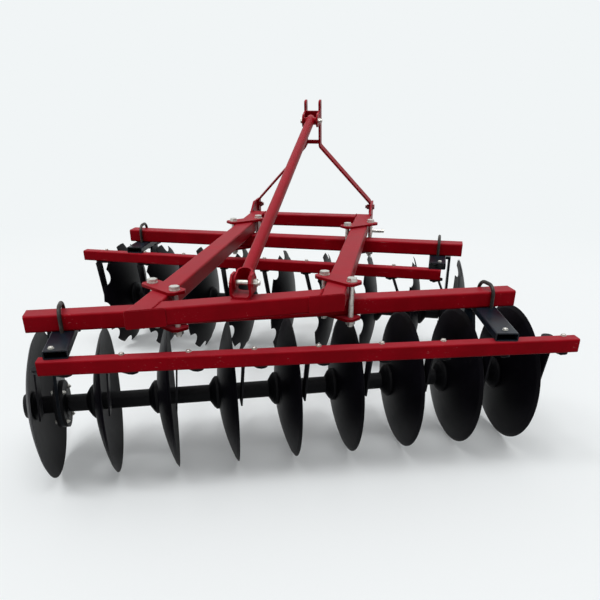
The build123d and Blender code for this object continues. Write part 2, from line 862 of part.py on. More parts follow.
# Its fork: flat bar bent to a U round the strut's end, down to the bolt. In
# its own plane x is to the right and y up along the strut.
fork_front = Plane(
    origin=(0, strut_low_y, strut_low_z), x_dir=(1, 0, 0), z_dir=(0, -strut_axis.Z, strut_axis.Y)
)
fork_half = clevis_inner_width / 2 - clevis_fork_gap - fork_thickness / 2
with BuildPart() as strut_fork:
    with BuildSketch(fork_front):
        with BuildLine():
            FilletPolyline(
                (-fork_half, -fork_end),
                (-fork_half, fork_reach - fork_thickness / 2),
                (fork_half, fork_reach - fork_thickness / 2),
                (fork_half, -fork_end),
                radius=fork_bend_radius,
            )
        trace(line_width=fork_thickness)
    extrude(amount=fork_width / 2, both=True)
    along_strut = Axis(origin=(0, 0, 0), direction=strut_axis)
    fork_ends = strut_fork.edges().filter_by(Axis.X).group_by(along_strut)
    fillet(fork_ends[0], fork_corner)
    with BuildSketch(along_x(Plane.XY, 0, strut_low_y, strut_low_z)):
        Circle(bolt_hole / 2)
    extrude(amount=2 * fork_half, both=True, mode=Mode.SUBTRACT)
finish(strut_fork.part, "strut_fork")

# Clevis: flat bar bent to a U, standing on the rear crossbar
clevis_half = clevis_inner_width / 2 + clevis_thickness
clevis_height = strut_low_z + clevis_leg_top - frame_top
with BuildPart() as strut_clevis:
    with BuildSketch(along_y(Plane.XY, 0, strut_low_y, frame_top)):
        with BuildLine():
            FilletPolyline(
                (-clevis_half + clevis_thickness / 2, clevis_height),
                (-clevis_half + clevis_thickness / 2, clevis_thickness / 2),
                (clevis_half - clevis_thickness / 2, clevis_thickness / 2),
                (clevis_half - clevis_thickness / 2, clevis_height),
                radius=clevis_bend_radius,
            )
        trace(line_width=clevis_thickness)
    extrude(amount=clevis_depth / 2, both=True)
    leg_edges = strut_clevis.edges().filter_by(Axis.X).group_by(Axis.Z)[-1]
    chamfer(leg_edges, clevis_leg_corner)
    with BuildSketch(along_x(Plane.XY, 0, strut_low_y, strut_low_z)):
        Circle(bolt_hole / 2)
    extrude(amount=2 * clevis_half, both=True, mode=Mode.SUBTRACT)
finish(strut_clevis.part, "strut_clevis")


# Hitch bolts: mast feet, strut top, strut foot. Heads on the left or outside.
foot_grip = hitch_plate_thickness + mast_bar_thickness
to_left = Plane(origin=(0, 0, 0), x_dir=(0, 1, 0), z_dir=(-1, 0, 0))
to_right = Plane(origin=(0, 0, 0), x_dir=(0, 1, 0), z_dir=(1, 0, 0))
bolt_seats = [
    # x, y, z of the head's seat, side of the head, grip
    (-frame_half_width, mast_bolt_y, mast_bolt_z, to_left, foot_grip),
    (frame_half_width, mast_bolt_y, mast_bolt_z, to_right, foot_grip),
    (-bracket_half, strut_top_y, strut_top_z, to_left, bracket_outer_width),
    (-clevis_half, strut_low_y, strut_low_z, to_left, 2 * clevis_half),
]
with BuildPart() as hitch_bolts:
    for x, y, z, facing, grip in bolt_seats:
        seat = Plane(Location((x, y, z)) * facing.location)
        add(make_bolt(seat, grip, hitch_bolt))
finish(hitch_bolts.part, "hitch_bolts")
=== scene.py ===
import json
import math

import bmesh
import bpy
from mathutils import Matrix, Vector


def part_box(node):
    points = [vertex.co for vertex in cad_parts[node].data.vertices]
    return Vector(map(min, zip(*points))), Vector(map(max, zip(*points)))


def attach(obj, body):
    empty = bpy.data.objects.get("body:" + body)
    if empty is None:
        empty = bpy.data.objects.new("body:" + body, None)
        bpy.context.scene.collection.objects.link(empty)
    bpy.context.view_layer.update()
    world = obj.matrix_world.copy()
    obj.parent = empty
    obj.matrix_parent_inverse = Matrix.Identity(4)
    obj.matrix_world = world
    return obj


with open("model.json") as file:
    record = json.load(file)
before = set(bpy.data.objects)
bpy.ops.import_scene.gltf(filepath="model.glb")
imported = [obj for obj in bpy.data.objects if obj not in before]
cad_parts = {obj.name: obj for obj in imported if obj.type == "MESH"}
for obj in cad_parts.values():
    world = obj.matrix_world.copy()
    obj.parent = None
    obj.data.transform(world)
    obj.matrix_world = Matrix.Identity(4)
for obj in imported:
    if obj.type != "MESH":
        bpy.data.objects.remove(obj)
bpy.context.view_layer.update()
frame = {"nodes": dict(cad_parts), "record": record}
nodes = frame["nodes"]
print("frame loaded:", len(nodes), "nodes")


# Node maths: a socket with operators, so that a mask is written as a formula
class Wire:
    def __init__(self, graph, socket):
        self.graph = graph
        self.socket = socket

    def maths(self, operation, *others):
        values = {0: self}
        values.update(enumerate(others, 1))
        return self.graph.node("ShaderNodeMath", {"operation": operation}, values)

    def swapped(self, operation, other):
        return self.graph.node("ShaderNodeMath", {"operation": operation}, {0: other, 1: self})

    def __add__(self, other):
        return self.maths("ADD", other)

    def __radd__(self, other):
        return self.swapped("ADD", other)

    def __sub__(self, other):
        return self.maths("SUBTRACT", other)

    def __rsub__(self, other):
        return self.swapped("SUBTRACT", other)

    def __mul__(self, other):
        return self.maths("MULTIPLY", other)

    def __rmul__(self, other):
        return self.swapped("MULTIPLY", other)

    def step(self, low, high):
        # 0 below low, 1 above high, smooth between
        settings = {"interpolation_type": "SMOOTHSTEP"}
        values = {"Value": self, "From Min": low, "From Max": high}
        return self.graph.node("ShaderNodeMapRange", settings, values, "Result")


class Graph:
    def __init__(self, tree):
        self.tree = tree
        self.tree.nodes.clear()

    def node(self, kind, settings, values, output=0):
        made = self.tree.nodes.new(kind)
        for key, value in settings.items():
            setattr(made, key, value)
        for key, value in values.items():
            for one in value if isinstance(value, list) else [value]:
                if isinstance(one, Wire):
                    self.tree.links.new(one.socket, made.inputs[key])
                else:
                    made.inputs[key].default_value = one
        return Wire(self, made.outputs[output])


def colour(value):
    if isinstance(value, Wire) or len(value) == 4:
        return value
    return (*value, 1.0)


class Shading(Graph):
    def __init__(self, name):
        self.material = bpy.data.materials.new(name)
        self.material.use_nodes = True
        super().__init__(self.material.node_tree)
        self.place = self.node("ShaderNodeTexCoord", {}, {}, "Object")

    def noise(self, scale, detail=3.0, rough=0.5, place=None):
        values = {"Vector": place or self.place, "Scale": scale}
        values.update({"Detail": detail, "Roughness": rough})
        return self.node("ShaderNodeTexNoise", {}, values, "Fac")

    def stretched(self, x, y, z):
        return self.node("ShaderNodeMapping", {}, {"Vector": self.place, "Scale": (x, y, z)})

    def along(self, axis):
        return self.node("ShaderNodeSeparateXYZ", {}, {0: self.place}, axis)

    def facingUp(self):
        normal = self.node("ShaderNodeNewGeometry", {}, {}, "Normal")
        return self.node("ShaderNodeSeparateXYZ", {}, {0: normal}, "Z")

    def mix(self, mask, first, second):
        values = {0: mask, 6: colour(first), 7: colour(second)}
        return self.node("ShaderNodeMix", {"data_type": "RGBA"}, values, 2)

    def bump(self, height, strength, distance):
        values = {"Height": height, "Strength": strength, "Distance": distance}
        return self.node("ShaderNodeBump", {}, values)

    def edges(self, radius):
        # how far the surface turns within the radius: 0 on flats, more on edges
        bevel = self.node("ShaderNodeBevel", {"samples": 4}, {"Radius": radius})
        flat = self.node("ShaderNodeNewGeometry", {}, {}, "Normal")
        product = {0: bevel, 1: flat}
        return 1 - self.node("ShaderNodeVectorMath", {"operation": "DOT_PRODUCT"}, product, "Value")

    def finished(self, **surface):
        values = {key.replace("_", " "): value for key, value in surface.items()}
        return self.ended(self.node("ShaderNodeBsdfPrincipled", {}, values))

    def ended(self, shader):
        out = self.tree.nodes.new("ShaderNodeOutputMaterial")
        self.tree.links.new(shader.socket, out.inputs["Surface"])
        return self.material


# Finishes
paint = {
    "red": (0.3, 0.0008, 0.007),
    "darkRed": (0.23, 0.0008, 0.005),
    # pale pink painted on upward faces: a painted highlight for the overhead light
    "paintedSheen": (0.36, 0.03, 0.045),
    "primer": (0.075, 0.045, 0.045),
    "scuff": (0.5, 0.2, 0.2),
    "scale": 7.0,
    "peel": 300.0,
    "edge": 0.0022,
    "roughness": 0.36,
    "gloss": 0.05,
    "wear": 0.32,
}
barePatch = {
    # a bare, worn place on the front crossbar's top
    "x": (-0.046, 0.044),
    "y": (0.808, 0.829),
    "z": 0.7,
    "blur": 0.003,
    "waver": 0.004,
    "colour": (0.46, 0.19, 0.19),
}


def redPaint():
    shading = Shading("red paint")
    patch = shading.noise(paint["scale"], 4.0, 0.6)
    speck = shading.noise(150.0, 2.0)
    peel = shading.noise(paint["peel"], 1.0)
    run = shading.noise(1.0, 3.0, 0.6, shading.stretched(60.0, 60.0, 7.0))
    scratch = shading.noise(1.0, 2.0, 0.5, shading.stretched(9.0, 260.0, 260.0))
    worn = (shading.edges(paint["edge"]) * 3 + speck * 0.45).step(0.66, 0.9)
    scuffed = (scratch.step(0.66, 0.72) * patch.step(0.5, 0.62)) * 0.35
    # upward faces painted paler pink: a painted highlight standing in for the overhead light's reflection
    # on the tops
    top = shading.facingUp().step(0.55, 0.95)
    topSheen = top * (0.2 + shading.noise(26.0, 5.0, 0.7) * 0.6)
    base = shading.mix(patch.step(0.35, 0.7), paint["darkRed"], paint["red"])
    base = shading.mix(run.step(0.5, 0.75) * 0.3, base, paint["darkRed"])
    base = shading.mix(topSheen, base, paint["paintedSheen"])
    base = shading.mix(scuffed, base, paint["scuff"])
    base = shading.mix(worn * paint["wear"], base, paint["primer"])
    bare = shading.along("Z").step(barePatch["z"], barePatch["z"] + 0.01)
    for axis in ("X", "Y"):
        low, high = barePatch[axis.lower()]
        place = shading.along(axis) + (shading.noise(220.0, 2.0) - 0.5) * barePatch["waver"]
        bare = bare * place.step(low, low + barePatch["blur"])
        bare = bare * (1 - place.step(high - barePatch["blur"], high))
    bare = bare * shading.noise(130.0, 4.0, 0.7).step(0.3, 0.55)
    base = shading.mix(bare * 0.75, base, barePatch["colour"])
    return shading.finished(
        Base_Color=base,
        Roughness=paint["roughness"] + patch * 0.1 + worn * 0.2 + topSheen * 0.12 + bare * 0.2,
        **{"Specular IOR Level": paint["gloss"]},
        Normal=shading.bump(peel + patch * 2 + run, 0.14, 0.0006),
    )


discFinish = {
    "black": (0.0014, 0.0011, 0.0022),
    "grey": (0.0038, 0.0033, 0.0054),
    "dust": (0.02, 0.019, 0.02),
    "bare": (0.09, 0.09, 0.095),
    "gloss": 0.07,
}


def discPaint():
    shading = Shading("satin black paint")
    patch = shading.noise(6.0, 5.0, 0.6)
    fine = shading.noise(260.0, 2.0)
    mottle = shading.noise(45.0, 4.0, 0.65)
    scratch = shading.noise(1.0, 2.0, 0.5, shading.stretched(30.0, 30.0, 300.0))
    worn = (shading.edges(0.002) * 2.4 + mottle * 0.5).step(0.72, 0.97)
    base = shading.mix(patch.step(0.3, 0.75), discFinish["black"], discFinish["grey"])
    base = shading.mix(mottle.step(0.55, 0.8) * 0.2, base, discFinish["dust"])
    base = shading.mix(scratch.step(0.68, 0.75) * 0.25, base, discFinish["dust"])
    base = shading.mix(worn * 0.35, base, discFinish["bare"])
    return shading.finished(
        Base_Color=base,
        Roughness=0.34 + patch * 0.16 + mottle * 0.08,
        Metallic=worn * 0.5,
        **{"Specular IOR Level": discFinish["gloss"]},
        Normal=shading.bump(fine + mottle, 0.1, 0.0005),
    )


armFinish = {
    "black": (0.003, 0.005, 0.0085),
    "grey": (0.0065, 0.012, 0.02),
    "speck": (0.2, 0.2, 0.2),
    "bare": (0.19, 0.18, 0.18),
    "gloss": 0.12,
}


def armPaint():
    shading = Shading("gloss black paint")
    patch = shading.noise(14.0, 4.0, 0.6)
    peel = shading.noise(300.0, 1.0)
    speck = shading.noise(420.0, 2.0).step(0.68, 0.74)
    worn = (shading.edges(0.002) * 2.8 + shading.noise(120.0, 2.0) * 0.5).step(0.62, 0.85)
    base = shading.mix(patch.step(0.3, 0.7), armFinish["black"], armFinish["grey"])
    base = shading.mix(speck * 0.2, base, armFinish["speck"])
    base = shading.mix(worn * 0.45, base, armFinish["bare"])
    return shading.finished(
        Base_Color=base,
        Roughness=0.24 + patch * 0.14,
        **{"Specular IOR Level": armFinish["gloss"]},
        Normal=shading.bump(peel, 0.1, 0.0005),
    )


castFinish = {
    "black": (0.0016, 0.0016, 0.0023),
    "grey": (0.006, 0.006, 0.0074),
    "gloss": 0.1,
}


def castIron():
    shading = Shading("painted casting")
    grain = shading.noise(330.0, 4.0, 0.7)
    lumps = shading.noise(60.0, 3.0)
    base = shading.mix(grain.step(0.35, 0.75), castFinish["black"], castFinish["grey"])
    return shading.finished(
        Base_Color=base,
        Roughness=0.42 + grain * 0.2,
        **{"Specular IOR Level": castFinish["gloss"]},
        Normal=shading.bump(grain + lumps * 1.5, 0.35, 0.0011),
    )


steelFinish = {
    "dark": (0.02, 0.0165, 0.015),
    "light": (0.06, 0.05, 0.043),
    "metallic": 0.6,
}


def darkSteel():
    shading = Shading("black oxide steel")
    patch = shading.noise(50.0, 4.0, 0.65)
    fine = shading.noise(700.0, 2.0)
    base = shading.mix(patch.step(0.4, 0.7), steelFinish["dark"], steelFinish["light"])
    return shading.finished(
        Base_Color=base,
        Metallic=steelFinish["metallic"],
        Roughness=0.4 + fine * 0.15,
        Normal=shading.bump(fine, 0.15, 0.0003),
    )


zincFinish = {
    "bright": (0.6, 0.59, 0.55),
    "dull": (0.3, 0.28, 0.24),
    "metallic": 0.9,
    # the mast's foot bolts stand in front of this y and are painted over
    "paintedFrom": 0.9,
}


def zincPlate():
    shading = Shading("zinc plating")
    patch = shading.noise(90.0, 4.0, 0.6)
    fine = shading.noise(900.0, 2.0)
    tarnish = (patch + shading.edges(0.0015) * 0.3).step(0.45, 0.8)
    base = shading.mix(tarnish, zincFinish["bright"], zincFinish["dull"])
    return shading.finished(
        Base_Color=base,
        Metallic=zincFinish["metallic"],
        Roughness=0.3 + patch * 0.2,
        Normal=shading.bump(fine, 0.12, 0.0002),
    )


def frameBolts():
    # zinc on the strut's bolts, painted over with the frame at the mast's feet
    shading = Shading("frame bolts")
    patch = shading.noise(90.0, 4.0, 0.6)
    painted = shading.along("Y").step(zincFinish["paintedFrom"], zincFinish["paintedFrom"] + 0.01)
    chipped = (shading.edges(0.0012) * 2 + patch * 0.6).step(0.6, 0.85)
    cover = painted * (1 - chipped * 0.6)
    base = shading.mix(patch.step(0.4, 0.75), zincFinish["bright"], zincFinish["dull"])
    base = shading.mix(cover, base, paint["darkRed"])
    return shading.finished(
        Base_Color=base,
        Metallic=zincFinish["metallic"] - cover * zincFinish["metallic"],
        Roughness=0.32 + patch * 0.18,
        Normal=shading.bump(patch, 0.12, 0.0003),
    )


pinFinish = {
    "bright": (0.74, 0.73, 0.7),
    "dull": (0.5, 0.48, 0.44),
    "metallic": 0.95,
}


def brightPin():
    shading = Shading("bright plated pin")
    turned = shading.noise(1.0, 2.0, 0.5, shading.stretched(900.0, 40.0, 40.0))
    patch = shading.noise(55.0, 3.0)
    base = shading.mix(patch.step(0.35, 0.75), pinFinish["bright"], pinFinish["dull"])
    return shading.finished(
        Base_Color=base,
        Metallic=pinFinish["metallic"],
        Roughness=0.2 + patch * 0.16,
        Normal=shading.bump(turned, 0.15, 0.0002),
    )


shaftFinish = {
    "dark": (0.02, 0.019, 0.018),
    "light": (0.07, 0.06, 0.052),
    "metallic": 0.7,
}


def shaftSteel():
    shading = Shading("rolled bar")
    patch = shading.noise(70.0, 5.0, 0.65)
    base = shading.mix(patch.step(0.35, 0.7), shaftFinish["dark"], shaftFinish["light"])
    return shading.finished(
        Base_Color=base,
        Metallic=shaftFinish["metallic"],
        Roughness=0.42 + patch * 0.2,
        Normal=shading.bump(patch, 0.2, 0.0006),
    )


finishes = {
    "red_paint": redPaint(),
    "disc_black": discPaint(),
    "arm_black": armPaint(),
    "cast_black": castIron(),
    "dark_steel": darkSteel(),
    "zinc": zincPlate(),
    "bright_pin": brightPin(),
    "shaft_steel": shaftSteel(),
}

slotOf = {part["node"]: part["material_slot"] for part in frame["record"]["subparts"]}
for name, node in nodes.items():
    for index in range(len(node.material_slots)):
        node.material_slots[index].material = finishes[slotOf[name]]
for slot in nodes["hitch_bolts"].material_slots:
    slot.material = frameBolts()
print("finishes given to", len(nodes), "nodes")


# Growing: a Geometry Nodes tree on seed points or lines, made a plain mesh
class Growth(Graph):
    def __init__(self, name, sizes):
        super().__init__(bpy.data.node_groups.new(name, "GeometryNodeTree"))
        sockets = self.tree.interface
        sockets.new_socket("Seed", in_out="INPUT", socket_type="NodeSocketGeometry")
        for key in sizes:
            sockets.new_socket(key, in_out="INPUT", socket_type="NodeSocketFloat")
        sockets.new_socket("Finish", in_out="INPUT", socket_type="NodeSocketMaterial")
        sockets.new_socket("Grown", in_out="OUTPUT", socket_type="NodeSocketGeometry")
        start = self.tree.nodes.new("NodeGroupInput")
        self.inputs = {socket.name: Wire(self, socket) for socket in start.outputs if socket.name}

    def field(self, name, kind="FLOAT"):
        return self.node("GeometryNodeInputNamedAttribute", {"data_type": kind}, {"Name": name})

    def random(self, low, high, seed):
        return self.node("FunctionNodeRandomValue", {}, {2: low, 3: high, "Seed": seed}, 1)

    def vector(self, x, y, z):
        return self.node("ShaderNodeCombineXYZ", {}, {0: x, 1: y, 2: z})

    def aimed(self, aim):
        return self.node("FunctionNodeAlignRotationToVector", {"axis": "Z"}, {"Vector": aim})

    def spun(self, rotation, angle):
        euler = self.vector(0.0, 0.0, angle)
        turn = self.node("FunctionNodeEulerToRotation", {}, {0: euler})
        values = {"Rotation": rotation, "Rotate By": turn}
        return self.node("FunctionNodeRotateRotation", {"rotation_space": "LOCAL"}, values)

    def prism(self, sides, radius, low, height):
        values = {"Vertices": sides, "Radius": radius, "Depth": height}
        body = self.node("GeometryNodeMeshCylinder", {}, values, "Mesh")
        lift = self.vector(0.0, 0.0, low + height * 0.5)
        return self.node("GeometryNodeTransform", {}, {"Geometry": body, "Translation": lift})

    def frustum(self, sides, bottom, top, low, height):
        values = {"Vertices": sides, "Radius Bottom": bottom, "Radius Top": top, "Depth": height}
        body = self.node("GeometryNodeMeshCone", {}, values, "Mesh")
        lift = self.vector(0.0, 0.0, low)
        return self.node("GeometryNodeTransform", {}, {"Geometry": body, "Translation": lift})

    def joined(self, *pieces):
        return self.node("GeometryNodeJoinGeometry", {}, {0: list(reversed(pieces))})

    def placed(self, points, piece, rotation, scale):
        values = {"Points": points, "Instance": piece, "Rotation": rotation, "Scale": scale}
        return self.node("GeometryNodeInstanceOnPoints", {}, values)

    def resampled(self, length):
        curve = self.node("GeometryNodeMeshToCurve", {}, {0: self.inputs["Seed"]})
        values = {"Curve": curve, "Length": length}
        return self.node("GeometryNodeResampleCurve", {"mode": "LENGTH"}, values)

    def grown(self, geometry, smooth):
        real = self.node("GeometryNodeRealizeInstances", {}, {0: geometry})
        values = {"Geometry": real, "Shade Smooth": smooth}
        shaded = self.node("GeometryNodeSetShadeSmooth", {}, values)
        values = {"Geometry": shaded, "Material": self.inputs["Finish"]}
        painted = self.node("GeometryNodeSetMaterial", {}, values)
        end = self.tree.nodes.new("NodeGroupOutput")
        self.tree.links.new(painted.socket, end.inputs[0])
        return self


def fastenerTree():
    # washer, hexagon with a chamfered top, and the thread's end above it
    growth = Growth("fastener", ["Across", "Height", "Washer", "Stud", "Reach"])
    across, height = growth.inputs["Across"], growth.inputs["Height"]
    washer, stud = growth.inputs["Washer"], growth.inputs["Stud"]
    corner = across * 0.5774
    thin = across * 0.11
    plate = growth.prism(26, washer * 0.985, 0.0, thin)
    body = growth.prism(6, corner, thin, height * 0.84)
    top = growth.frustum(6, corner, corner * 0.86, thin + height * 0.84, height * 0.16)
    end = growth.prism(14, stud, thin, height + growth.inputs["Reach"])
    tip = growth.frustum(14, stud, stud * 0.8, thin + height + growth.inputs["Reach"], stud * 0.2)
    piece = growth.joined(plate, body, top, end, tip)
    aim = growth.aimed(growth.field("aim", "FLOAT_VECTOR"))
    rotation = growth.spun(aim, growth.random(0.0, 1.05, 7))
    return growth.grown(growth.placed(growth.inputs["Seed"], piece, rotation, (1, 1, 1)), False)


def threadTree():
    # rings along a line, each a low ridge
    growth = Growth("thread", ["Pitch", "Depth"])
    pitch, depth = growth.inputs["Pitch"], growth.inputs["Depth"]
    radius = growth.field("radius")
    half = pitch * 0.5
    rise = growth.frustum(14, 1.0, 1.0 + depth, 0.0 - half, half)
    fall = growth.frustum(14, 1.0 + depth, 1.0, 0.0, half)
    tangent = growth.node("GeometryNodeInputTangent", {}, {})
    scale = growth.vector(radius, radius, 1.0)
    points = growth.resampled(pitch)
    ridge = growth.joined(rise, fall)
    return growth.grown(growth.placed(points, ridge, growth.aimed(tangent), scale), False)


def weldTree():
    # overlapping drops along a seam, flattened and slightly uneven
    growth = Growth("weld bead", ["Size", "Step"])
    size = growth.inputs["Size"]
    drop = growth.node("GeometryNodeMeshUVSphere", {}, {"Segments": 8, "Rings": 5, "Radius": 1.0}, "Mesh")
    tangent = growth.node("GeometryNodeInputTangent", {}, {})
    wide = size * growth.random(0.85, 1.15, 3)
    scale = growth.vector(wide, wide, size * growth.random(0.55, 0.75, 5))
    points = growth.resampled(growth.inputs["Step"])
    rotation = growth.spun(growth.aimed(tangent), growth.random(0.0, 6.28, 9))
    return growth.grown(growth.placed(points, drop, rotation, scale), True)


trees = {"fastener": fastenerTree(), "thread": threadTree(), "weld": weldTree()}


def grow(name, kind, seed, sizes, slot, body="frame"):
    # seed is points, edges and the fields that stand on the points
    points, edges, fields = seed
    mesh = bpy.data.meshes.new(name)
    mesh.from_pydata(points, edges, [])
    for key, values in fields.items():
        isVector = hasattr(values[0], "__len__")
        field = mesh.attributes.new(key, "FLOAT_VECTOR" if isVector else "FLOAT", "POINT")
        for place, value in zip(field.data, values):
            setattr(place, "vector" if isVector else "value", value)
    piece = bpy.data.objects.new(name, mesh)
    bpy.context.collection.objects.link(piece)
    modifier = piece.modifiers.new(kind, "NODES")
    modifier.node_group = trees[kind].tree
    values = {**sizes, "Finish": finishes[slot]}
    for socket in trees[kind].tree.interface.items_tree:
        if socket.in_out == "INPUT" and socket.name in values:
            modifier[socket.identifier] = values[socket.name]
    seen = piece.evaluated_get(bpy.context.evaluated_depsgraph_get())
    grown = bpy.data.meshes.new_from_object(seen)
    piece.modifiers.remove(modifier)
    piece.data = grown
    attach(piece, body)
    print(name, len(points), "seeds,", len(grown.polygons), "faces")


# Places, read from the frame: each gang's joint gives its middle and turn
class GangPlace:
    def __init__(self, joint):
        self.middle = Vector(joint["pos_m"])
        self.right = Vector(joint["axis"]).normalized()
        self.forward = Vector((-self.right.y, self.right.x, 0.0))

    def __call__(self, x, y, z):
        # millimetres in the gang's own frame, z from the ground
        flat = self.middle + (self.right * x + self.forward * y) / 1000.0
        return Vector((flat.x, flat.y, z / 1000.0))

    def local(self, point):
        run = point - self.middle
        return Vector((run.dot(self.right) * 1000.0, run.dot(self.forward) * 1000.0, point.z * 1000.0))


joints = frame["record"]["behaviour"]["joints"]
gangs = {joint["child"].split("_")[0]: GangPlace(joint) for joint in joints}


def solids(name):
    # the node's separate solids, each as its list of points
    work = bmesh.new()
    work.from_mesh(nodes[name].data)
    bmesh.ops.remove_doubles(work, verts=work.verts, dist=1e-6)
    work.verts.index_update()
    reached = set()
    found = []
    for start in work.verts:
        if start.index in reached:
            continue
        reached.add(start.index)
        group = [start]
        # the group grows while it is walked, so the order is the same each run
        for vertex in group:
            for edge in vertex.link_edges:
                other = edge.other_vert(vertex)
                if other.index not in reached:
                    reached.add(other.index)
                    group.append(other)
        found.append([vertex.co.copy() for vertex in group])
    work.free()
    return found


def boxOf(points):
    low = Vector([min(point[axis] for point in points) for axis in range(3)])
    high = Vector([max(point[axis] for point in points) for axis in range(3)])
    return low, high


# Small bolts
scraperBolt = {
    "count": 9,
    "pitch": 217.6,
    "footPitch": 213.0,
    "beamTop": 571.5,
    "armTop": 601.5,
    "footBottom": 513.5,
    "footBack": 15.0,
    # first bolt's x, beam's y at the middle, its turn, feet's shift, bolts on arms
    "rows": {
        "rear": (-823.6, -312.0, -3.3, 62.0, (0, 7)),
        "front": (-912.0, -216.0, -0.9, -42.0, (8,)),
    },
    "head": {"Across": 0.015, "Height": 0.005, "Washer": 0.0105, "Stud": 0.003, "Reach": 0.0},
    "nut": {"Across": 0.015, "Height": 0.005, "Washer": 0.0095, "Stud": 0.003, "Reach": 0.0},
}
housingBolt = {
    "radius": 78.0,
    "angles": (-57.0, 33.0, 123.0, 213.0),
    "axle": 280.0,
    # points farther out than this are on the flange
    "flange": 88.0,
    "head": {"Across": 0.015, "Height": 0.006, "Washer": 0.009, "Stud": 0.003, "Reach": 0.0},
    "nut": {"Across": 0.013, "Height": 0.006, "Washer": 0.008, "Stud": 0.0035, "Reach": 0.003},
}


def makeScraperBolts():
    heads, nuts = [], []
    for name, (first, y, turn, feet, onArms) in scraperBolt["rows"].items():
        slope = math.tan(math.radians(turn))
        for number in range(scraperBolt["count"]):
            x = first + number * scraperBolt["pitch"]
            top = scraperBolt["armTop" if number in onArms else "beamTop"]
            heads.append(gangs[name](x, y + x * slope, top))
            x = feet + (number - (scraperBolt["count"] - 1) / 2) * scraperBolt["footPitch"]
            back = y - scraperBolt["footBack"] + x * slope
            nuts.append(gangs[name](x, back, scraperBolt["footBottom"]))
    up, down = [(0, 0, 1)] * len(heads), [(0, 0, -1)] * len(nuts)
    grow("scraper_bolt_heads", "fastener", (heads, [], {"aim": up}), scraperBolt["head"], "zinc")
    grow("scraper_bolt_nuts", "fastener", (nuts, [], {"aim": down}), scraperBolt["nut"], "dark_steel")


def makeHousingBolts():
    heads, nuts, headAims, nutAims = [], [], [], []
    for name, gang in gangs.items():
        for sideName, side in (("left", -1), ("right", 1)):
            for solid in solids(f"{name}_housings_{sideName}"):
                flange = [
                    point for point in map(gang.local, solid)
                    if math.hypot(point.y, point.z - housingBolt["axle"]) > housingBolt["flange"]
                ]
                face = max(side * point.x for point in flange) * side
                for angle in map(math.radians, housingBolt["angles"]):
                    y = housingBolt["radius"] * math.cos(angle)
                    z = housingBolt["axle"] + housingBolt["radius"] * math.sin(angle)
                    (heads if side < 0 else nuts).append(gang(face, y, z))
                    (headAims if side < 0 else nutAims).append(gang.right * side)
    for part, points, aims in (("head", heads, headAims), ("nut", nuts, nutAims)):
        grow(f"housing_bolt_{part}s", "fastener", (points, [], {"aim": aims}), housingBolt[part], "zinc")


makeScraperBolts()
makeHousingBolts()


# Threads on the ends of the long bolts
threads = {
    "clampRadius": 0.01,
    "uBoltRadius": 0.007,
    "clampRun": 0.075,
    "uBoltRun": 0.034,
    # how near a U-bolt's lowest point its ends' points are
    "uBoltFoot": 0.002,
    "sizes": {"Pitch": 0.0024, "Depth": 0.045},
    "fine": {"Pitch": 0.002, "Depth": 0.05},
    "washer": {"Across": 0.028, "Height": 0.006, "Washer": 0.0195, "Stud": 0.009, "Reach": 0.0},
}


def makeClampThreads():
    points, edges, radii = [], [], []
    for solid in solids("clamp_bolts"):
        low, high = boxOf(solid)
        middle = (low + high) / 2
        index = len(points)
        points += [(middle.x, middle.y, low.z), (middle.x, middle.y, low.z + threads["clampRun"])]
        edges.append((index, index + 1))
        radii += [threads["clampRadius"]] * 2
    grow("clamp_threads", "thread", (points, edges, {"radius": radii}), threads["sizes"], "zinc")


def makeUBoltThreads():
    points, edges, radii = [], [], []
    for name, gang in gangs.items():
        for solid in solids(f"{name}_u_bolts"):
            lowest = min(point.z for point in solid)
            feet = [gang.local(point) for point in solid if point.z < lowest + threads["uBoltFoot"]]
            middle = sum(foot.y for foot in feet) / len(feet)
            for side in (-1, 1):
                leg = [foot for foot in feet if side * (foot.y - middle) > 0]
                x = sum(foot.x for foot in leg) / len(leg)
                y = sum(foot.y for foot in leg) / len(leg)
                index = len(points)
                start, end = lowest * 1000.0, (lowest + threads["uBoltRun"]) * 1000.0
                points += [gang(x, y, start), gang(x, y, end)]
                edges.append((index, index + 1))
                radii += [threads["uBoltRadius"]] * 2
    grow("u_bolt_threads", "thread", (points, edges, {"radius": radii}), threads["fine"], "dark_steel")


def makeClampWashers():
    # thin rings under the heads and above the nuts, just wider than both
    points, aims = [], []
    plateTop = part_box("clamp_upper_plates")[1][2]
    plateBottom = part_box("clamp_lower_plates")[0][2]
    for solid in solids("clamp_bolts"):
        low, high = boxOf(solid)
        middle = (low + high) / 2
        points += [(middle.x, middle.y, plateTop), (middle.x, middle.y, plateBottom)]
        aims += [(0, 0, 1), (0, 0, -1)]
    grow("clamp_washers", "fastener", (points, [], {"aim": aims}), threads["washer"], "zinc")


makeClampThreads()
makeUBoltThreads()
makeClampWashers()


# Welds on the frame, the mast and the hangers
weld = {
    "sizes": {"Size": 0.0036, "Step": 0.0042},
    "corner": 0.008,
    "half": 0.3345,
    "inner": 0.2545,
    "rearY": -0.805,
    "rearTurn": 24.3,
    "capWidth": 0.128,
    "capInset": 0.002,
    "capHeight": 0.058,
    "capCorner": 0.005,
    "tubeWidth": 0.08,
    "frontY": 0.86,
    "plate": 0.01,
    "plateHeel": 0.818,
    # rear crossbar's front face under the clevis, and insets from its ends and sides
    "clevisFront": -0.72,
    "clevisEnd": 0.012,
    "clevisSide": 0.006,
    "spacer": 0.01,
    "hangerInset": 6.0,
    "hangerTop": 1.0,
}


def loop(middle, across, up, width, height, corner):
    # a closed rounded rectangle round the middle
    points = []
    for number in range(4):
        sideX = (1, -1, -1, 1)[number]
        sideY = (1, 1, -1, -1)[number]
        for part in range(5):
            angle = math.radians(number * 90 + part * 22.5)
            x = sideX * (width / 2 - corner) + corner * math.cos(angle)
            y = sideY * (height / 2 - corner) + corner * math.sin(angle)
            points.append(middle + across * x + up * y)
    return points + points[:1]


